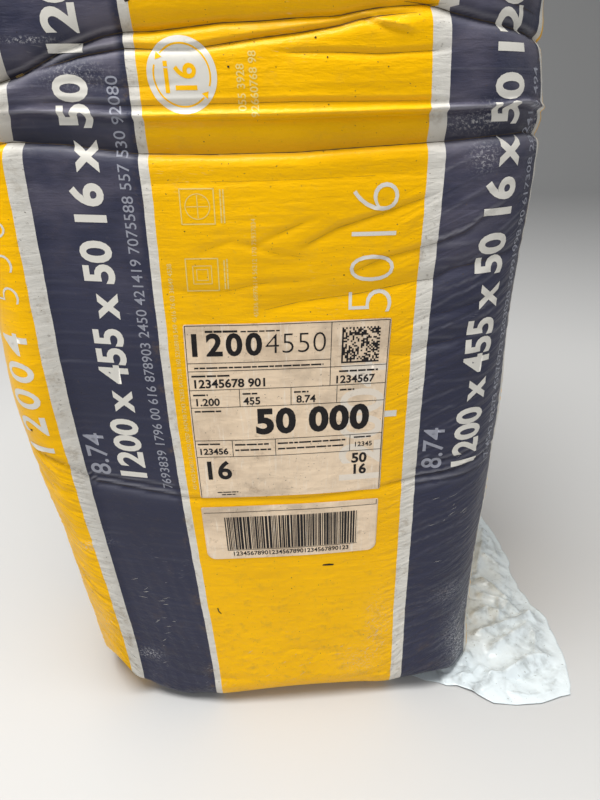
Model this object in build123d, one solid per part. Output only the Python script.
from build123d import *
import os

# Wrapped pack of pressed glass wool cavity batts, standing on its end.
# Millimetres. +X right, -Y the front with the labels, +Z up, origin under the pack on the floor.

# Batts: free size, how many, and how far the pack presses them together from front to back
batt_count = 16
batt_length = 1200.0
batt_width = 455.0
batt_free_thickness = 50.0
press_ratio = 2.2
batt_gap = 0.6

# Form of the pressed stack: crowned faces, round corners, pulled in by the film at both ends
front_crown = 12.0
side_crown = 12.0
corner_radius = 58.0
foot_side_pull = 14.0
foot_face_pull = 3.0
foot_shift = 12.0
low_height = 210.0
low_side_pull = 3.0
low_face_pull = 5.0
low_shift = 8.0
full_height = 430.0
upper_height = 880.0
head_side_pull = 15.0
head_face_pull = 12.0
foot_rim_radius = 36.0
right_foot_rim_radius = 16.0
head_rim_radius = 44.0
bend_radius = 900.0
outline_margin = 1.0

# Left part of the front, which turns away to a shallow valley beside the corner, and the fuller right corner
turn_start = 74.0
turn_end = 165.0
turn_depth = 16.0
turn_radius = 120.0
valley_radius = 50.0
left_corner_radius = 47.0
right_corner_swell = 8.0

# Left foot corner, where the film is slack and the corner is drawn in under the pack
slack_height = 150.0
slack_pull = 36.0
slack_rim_radius = 60.0

# Printed film bag
film_wall = 0.5
film_clearance = 0.4

# Welded fin that closes the bag across its head, folded down flat
fin_depth = 30.0
fin_thickness = 1.2
fin_end_margin = 6.0

# Surplus end film, which comes out under the right side and lies on the floor
tail_wall = 0.8
tail_clearance = 0.3
tail_reach = 144.0
tail_tuck = 60.0
tail_front_reach = 34.0
tail_front_run = 96.0
tail_back_margin = 26.0
tail_rise = 14.0
tail_fold_start = 18.0
tail_fold_run = 74.0
tail_fold_radius = 34.0
tail_corner_radius = 16.0

# Labels on the front
label_thickness = 0.4
label_clearance = 0.3
label_offset = 27.0
label_width = 175.0
label_spacing = 11.0
label_corner = 2.0
product_label_height = 180.0
product_label_bottom = 303.0
barcode_label_height = 70.0
barcode_label_corner = 9.0

# Worked out from the sizes above
pressed_thickness = batt_free_thickness / press_ratio
stack_depth = batt_count * pressed_thickness
skin = film_clearance + film_wall
pack_height = batt_length + 2 * skin
reach = stack_depth + batt_width


def round_corner(outline, corner, radius):
    """Rounds the one corner of a flat outline that lies nearest to a point."""
    nearest = min(outline.vertices(), key=lambda v: (v.X - corner[0]) ** 2 + (v.Y - corner[1]) ** 2)
    return fillet(nearest, radius)


def plan(outset):
    """Crowned rectangle with round corners: the stack seen from above, moved outwards by outset."""
    half_width = batt_width / 2 + outset
    half_depth = stack_depth / 2 + outset
    crest = -half_depth - front_crown
    front_left = (-half_width, -half_depth)
    front_right = (half_width + right_corner_swell, -half_depth - right_corner_swell)
    back_right = (half_width, half_depth)
    back_left = (-half_width, half_depth)
    turn = (-turn_start, crest)
    valley = (-turn_end, crest + turn_depth + front_crown * (turn_end / half_width) ** 2)
    turned = Polyline(front_left, valley, turn)
    front = ThreePointArc(turn, (0, crest), front_right)
    right = ThreePointArc(front_right, (half_width + side_crown, 0), back_right)
    back = ThreePointArc(back_right, (0, half_depth + front_crown), back_left)
    left = ThreePointArc(back_left, (-half_width - side_crown, 0), front_left)
    outline = make_face(turned + front + right + back + left)
    bends = (
        (front_left, left_corner_radius + outset),
        (valley, valley_radius - outset),
        (turn, turn_radius + outset),
        (front_right, corner_radius + outset),
        (back_right, corner_radius + outset),
        (back_left, corner_radius + outset),
    )
    for bend, radius in bends:
        outline = round_corner(outline, bend, radius)
    return outline


def elevation(half_size, foot_pull, low_pull, head_pull, shifted, right_foot_radius, outset):
    """The stack's outline seen from one side, drawn over height: pulled in at the foot and at the head."""
    foot_z = skin - outset
    head_z = skin + batt_length + outset
    half = half_size + outset
    levels = [
        (foot_z, foot_pull, foot_shift * shifted),
        (low_height, low_pull, low_shift * shifted),
        (full_height, 0, 0),
        (upper_height, 0, 0),
        (head_z, head_pull, 0),
    ]
    right = [(half - pull + shift, height) for height, pull, shift in levels]
    left = [(-half + pull + shift, height) for height, pull, shift in reversed(levels)]
    outline = make_face(Polyline(*right, *left, close=True))
    rims = (
        (right[0], right_foot_radius),
        (left[-1], foot_rim_radius),
        (right[-1], head_rim_radius),
        (left[0], head_rim_radius),
    )
    for corner, radius in rims:
        outline = round_corner(outline, corner, radius + outset)
    for bend in right[1:-1] + left[1:-1]:
        outline = round_corner(outline, bend, bend_radius)
    return outline


def slack_corner(outset):
    """Prism that draws in the left front corner at the foot: an outline over height, seen along the face across it."""
    foot_z = skin - outset
    head_z = skin + batt_length + outset
    straight = batt_width / 2 + stack_depth / 2 - 2 * corner_radius
    corner_reach = straight / 2 ** 0.5 + corner_radius + outset
    foot = (corner_reach - slack_pull, foot_z)
    bend = (corner_reach, slack_height)
    outline = make_face(Polyline((-reach, foot_z), foot, bend, (corner_reach, head_z), (-reach, head_z), close=True))
    outline = round_corner(outline, foot, slack_rim_radius + outset)
    outline = round_corner(outline, bend, bend_radius / 4)
    across = Plane(origin=(0, 0, 0), x_dir=(-1, -1, 0), z_dir=(-1, 1, 0))
    return extrude(across * outline, amount=reach, both=True)


def pack_form(outset):
    """The pack's closed form at a distance outside the batts, where the extruded outlines meet."""
    column = Pos(0, 0, skin - outset) * extrude(plan(outset), amount=batt_length + 2 * outset)
    half_width = batt_width / 2 + side_crown + outline_margin
    half_depth = stack_depth / 2 + front_crown + outline_margin
    from_front = elevation(
        half_width, foot_side_pull, low_side_pull, head_side_pull, 1, right_foot_rim_radius, outset
    )
    from_side = elevation(half_depth, foot_face_pull, low_face_pull, head_face_pull, 0, foot_rim_radius, outset)
    front_prism = extrude(Plane.XZ * from_front, amount=reach, both=True)
    side_prism = extrude(Plane.YZ * from_side, amount=reach, both=True)
    return column & front_prism & side_prism & slack_corner(outset)


def bowed_line(start, end, bow):
    """Edge between two points of equal Y that bows towards -Y, or is straight where it has no bow."""
    if abs(bow) < batt_gap / 10:
        return Line(start, end)
    middle = ((start[0] + end[0]) / 2, start[1] - bow)
    return ThreePointArc(start, middle, end)


def batt(index, stack):
    """One pressed batt: the layer of the stack between two bowed planes, from the front at index 0."""
    half_depth = stack_depth / 2
    front_y = -half_depth + index * pressed_thickness + batt_gap / 2
    back_y = -half_depth + (index + 1) * pressed_thickness - batt_gap / 2
    front_bow = front_crown * (1 - 2 * index / batt_count)
    back_bow = front_crown * (1 - 2 * (index + 1) / batt_count)
    if index == 0:
        front_y -= reach
    if index == batt_count - 1:
        back_y += reach
    side = batt_width / 2
    front = bowed_line((-side, front_y), (side, front_y), front_bow)
    back = bowed_line((-side, back_y), (side, back_y), back_bow)
    # Past the batt's free width the layer runs on straight, to take in the crowned sides
    far_front = Polyline((side, front_y), (reach, front_y), (reach, back_y), (side, back_y))
    far_back = Polyline((-side, back_y), (-reach, back_y), (-reach, front_y), (-side, front_y))
    layer = make_face(front + far_front + back + far_back)
    return stack & extrude(layer, amount=pack_height)


def film_bag():
    """The bag: a wall round the whole stack, with the fin of its closing weld folded down on the head."""
    wall = pack_form(skin) - pack_form(film_clearance)
    flat_half_width = batt_width / 2 - head_side_pull - head_rim_radius
    fin = Box(
        2 * (flat_half_width - fin_end_margin),
        fin_depth,
        fin_thickness,
        align=(Align.CENTER, Align.MIN, Align.MIN),
    )
    return wall + Pos(0, 0, pack_height) * fin


def film_tail():
    """Loose end film: a thin sheet on the floor with one fold standing up beside the bag's foot."""
    side_x = batt_width / 2 + side_crown - foot_side_pull + foot_shift + skin
    front_y = -stack_depth / 2 - front_crown + foot_face_pull - skin
    inner_x = side_x - tail_tuck
    outer_x = side_x + tail_reach
    fold_start = side_x - tail_fold_start
    fold_end = fold_start + tail_fold_run
    fold_top = (fold_start + fold_end) / 2

    def sheet_line(lift):
        """Lower or upper line of the sheet's section, in X and Z, with its one round fold."""
        points = [
            (inner_x, lift),
            (fold_start, lift),
            (fold_top, tail_rise + lift),
            (fold_end, lift),
            (outer_x, lift),
        ]
        return FilletPolyline(*points, radius=tail_fold_radius)

    ends = Line((inner_x, 0), (inner_x, tail_wall)) + Line((outer_x, 0), (outer_x, tail_wall))
    profile = Plane.XZ * make_face(sheet_line(0) + sheet_line(tail_wall) + ends)
    sheet = extrude(profile, amount=reach, both=True)

    back_y = stack_depth / 2 - tail_back_margin
    plan = make_face(Polyline(
        (inner_x, back_y),
        (outer_x, back_y),
        (outer_x, front_y - tail_front_reach),
        (side_x + tail_front_run / 2, front_y - tail_front_reach),
        (side_x - tail_front_run / 2, front_y),
        (inner_x, front_y + tail_front_reach),
        close=True,
    ))
    outer_corners = plan.vertices().sort_by(Axis.X)[-3:]
    plan = fillet(outer_corners, tail_corner_radius)
    prism = extrude(plan, amount=tail_rise + 2 * tail_wall)
    return sheet & prism - pack_form(skin + tail_clearance)


def front_label(bottom, height, lower_corner):
    """Thin label that follows the front of the bag, with its own radius on the two lower corners."""
    outline = Rectangle(label_width, height)
    lower = outline.vertices().group_by(Axis.Y)[0]
    outline = fillet(lower, lower_corner)
    upper = outline.vertices().group_by(Axis.Y)[-1]
    outline = fillet(upper, label_corner)
    placed = Plane.XZ * Pos(label_offset, bottom + height / 2) * outline
    prism = extrude(placed, amount=reach)
    inner = skin + label_clearance
    layer = pack_form(inner + label_thickness) - pack_form(inner)
    return layer & prism


def write(node, shape):
    """Writes one piece under its own name."""
    export_step(shape, f"parts/{node}.step")


os.makedirs("parts", exist_ok=True)

stack = pack_form(0)
for index in range(batt_count):
    write(f"batt_{index + 1:02d}", batt(index, stack))

write("film_bag", film_bag())
write("film_tail", film_tail())

barcode_label_bottom = product_label_bottom - label_spacing - barcode_label_height
write("product_label", front_label(product_label_bottom, product_label_height, label_corner))
write("barcode_label", front_label(barcode_label_bottom, barcode_label_height, barcode_label_corner))
